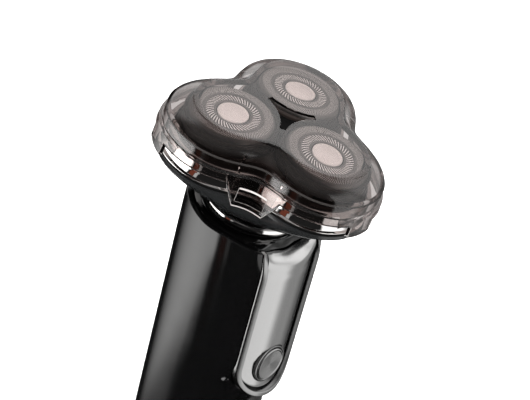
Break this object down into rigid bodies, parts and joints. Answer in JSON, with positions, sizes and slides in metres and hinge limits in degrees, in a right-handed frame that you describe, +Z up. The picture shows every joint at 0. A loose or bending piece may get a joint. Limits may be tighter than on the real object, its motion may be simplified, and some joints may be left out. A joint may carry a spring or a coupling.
{
  "type": "rotary electric shaver",
  "caption": "Handheld rotary shaver: near-round handle with front panel and power button, tilting neck, and a lobed shaving head under a clear travel cap.",
  "frame": {"origin": "centre of the flat base of the handle", "axes": "+Z up the handle towards the shaving head; -Y is the front, the side with the panel and power button"},
  "size_m": [0.061, 0.057, 0.16],
  "materials": {
    "gloss_black": "gloss",
    "smoke_clear": "gloss",
    "foil_steel": "satin",
    "disc": "matte",
    "gunmetal": "gloss",
    "chrome": "mirror",
    "dark_plastic": "satin",
    "bowl_plastic": "gloss",
    "panel_metal": "satin",
    "trim_metal": "satin",
    "button_metal": "spun",
    "rubber": "matte",
    "nylon": "matte",
    "inner_steel": "satin",
    "board": "satin",
    "cell": "satin",
    "lens": "gloss"
  },
  "bodies": {
    "handle": {"handle_shell": "gloss_black", "front_panel": "panel_metal", "panel_trim": "trim_metal", "button_bezel": "chrome", "tact_switch": "dark_plastic", "circuit_board": "board", "charge_light": "lens", "battery_cell": "cell", "chassis": "dark_plastic", "charge_socket": "chrome", "base_cap": "dark_plastic", "base_screw_left": "inner_steel", "base_screw_right": "inner_steel", "collar_ring": "gloss_black", "neck_ring": "chrome", "neck_boot": "rubber", "motor": "inner_steel", "neck_post": "dark_plastic", "motor_screw_left": "inner_steel", "motor_screw_right": "inner_steel"},
    "button": {"power_button": "button_metal"},
    "rotor": {"drive_shaft": "inner_steel"},
    "gimbal": {"gimbal_ring": "nylon"},
    "socket": {"head_socket": "dark_plastic"},
    "head": {"head_bowl": "bowl_plastic", "rim_band": "chrome", "gear_plate": "dark_plastic", "head_frame": "gunmetal", "centre_star": "gloss_black"},
    "hub": {"drive_gear": "nylon"},
    "cap": {"protective_cap": "smoke_clear"},
    "gear_front": {"cutter_gear_front": "nylon", "spindle_front": "inner_steel", "float_spring_front": "inner_steel"},
    "shaving_head_front": {"pod_front": "gunmetal", "foil_front": "foil_steel", "centre_disc_front": "disc"},
    "cutter_front": {"cutter_front": "foil_steel"},
    "gear_right": {"cutter_gear_right": "nylon", "spindle_right": "inner_steel", "float_spring_right": "inner_steel"},
    "shaving_head_right": {"pod_right": "gunmetal", "foil_right": "foil_steel", "centre_disc_right": "disc"},
    "cutter_right": {"cutter_right": "foil_steel"},
    "gear_left": {"cutter_gear_left": "nylon", "spindle_left": "inner_steel", "float_spring_left": "inner_steel"},
    "shaving_head_left": {"pod_left": "gunmetal", "foil_left": "foil_steel", "centre_disc_left": "disc"},
    "cutter_left": {"cutter_left": "foil_steel"}
  },
  "joints": [
    {"name": "button_press", "type": "slide", "parent": "handle", "child": "button", "axis": [0, 1, 0], "range_m": [0, 0.0006], "stiffness_N_per_m": 800, "springref_m": -0.0015},
    {"name": "drive_spin", "type": "hinge", "parent": "handle", "child": "rotor", "pos_m": [0, 0.00082, 0.136], "axis": [0, -0.1513, 0.9885], "continuous": true},
    {"name": "head_pitch", "type": "hinge", "parent": "handle", "child": "gimbal", "pos_m": [0, 0.00082, 0.136], "axis": [1, 0, 0], "range_deg": [-4, 4], "stiffness_Nm_per_rad": 0.5},
    {"name": "head_roll", "type": "hinge", "parent": "gimbal", "child": "socket", "pos_m": [0, 0.00082, 0.136], "axis": [0, 0.9885, 0.1513], "range_deg": [-4, 4], "stiffness_Nm_per_rad": 0.5},
    {"name": "head_release", "type": "slide", "parent": "socket", "child": "head", "axis": [0, -0.1513, 0.9885], "range_m": [0, 0.03]},
    {"name": "drive_gear_spin", "type": "hinge", "parent": "head", "child": "hub", "pos_m": [0, 0.00082, 0.136], "axis": [0, -0.1513, 0.9885], "continuous": true},
    {"name": "cap_lift", "type": "slide", "parent": "head", "child": "cap", "axis": [0, -0.1513, 0.9885], "range_m": [0, 0.04]},
    {"name": "gear_spin_front", "type": "hinge", "parent": "head", "child": "gear_front", "pos_m": [0, -0.01552, 0.14362], "axis": [0, -0.1513, 0.9885], "continuous": true},
    {"name": "float_front", "type": "slide", "parent": "head", "child": "shaving_head_front", "axis": [0, 0.2198, -0.9755], "range_m": [0, 0.0012], "stiffness_N_per_m": 300, "springref_m": -0.002, "deforming": ["float_spring_front"]},
    {"name": "cutter_spin_front", "type": "hinge", "parent": "shaving_head_front", "child": "cutter_front", "pos_m": [0, -0.01702, 0.1534], "axis": [0, -0.2198, 0.9755], "continuous": true},
    {"name": "gear_spin_right", "type": "hinge", "parent": "head", "child": "gear_right", "pos_m": [0.01299, 0.00672, 0.14702], "axis": [0, -0.1513, 0.9885], "continuous": true},
    {"name": "float_right", "type": "slide", "parent": "head", "child": "shaving_head_right", "axis": [-0.0604, 0.1164, -0.9914], "range_m": [0, 0.0012], "stiffness_N_per_m": 300, "springref_m": -0.002, "deforming": ["float_spring_right"]},
    {"name": "cutter_spin_right", "type": "hinge", "parent": "shaving_head_right", "child": "cutter_right", "pos_m": [0.01299, 0.00522, 0.15681], "axis": [0.0604, -0.1164, 0.9914], "continuous": true},
    {"name": "gear_spin_left", "type": "hinge", "parent": "head", "child": "gear_left", "pos_m": [-0.01299, 0.00672, 0.14702], "axis": [0, -0.1513, 0.9885], "continuous": true},
    {"name": "float_left", "type": "slide", "parent": "head", "child": "shaving_head_left", "axis": [0.0604, 0.1164, -0.9914], "range_m": [0, 0.0012], "stiffness_N_per_m": 300, "springref_m": -0.002, "deforming": ["float_spring_left"]},
    {"name": "cutter_spin_left", "type": "hinge", "parent": "shaving_head_left", "child": "cutter_left", "pos_m": [-0.01299, 0.00522, 0.15681], "axis": [-0.0604, -0.1164, 0.9914], "continuous": true}
  ],
  "couplings": [
    {"joint": "drive_spin", "follows": "cutter_spin_front", "ratio": -1.2222},
    {"joint": "drive_gear_spin", "follows": "cutter_spin_front", "ratio": -1.2222},
    {"joint": "gear_spin_front", "follows": "cutter_spin_front", "ratio": 1},
    {"joint": "gear_spin_right", "follows": "cutter_spin_front", "ratio": 1},
    {"joint": "cutter_spin_right", "follows": "cutter_spin_front", "ratio": 1},
    {"joint": "gear_spin_left", "follows": "cutter_spin_front", "ratio": 1},
    {"joint": "cutter_spin_left", "follows": "cutter_spin_front", "ratio": 1}
  ]
}
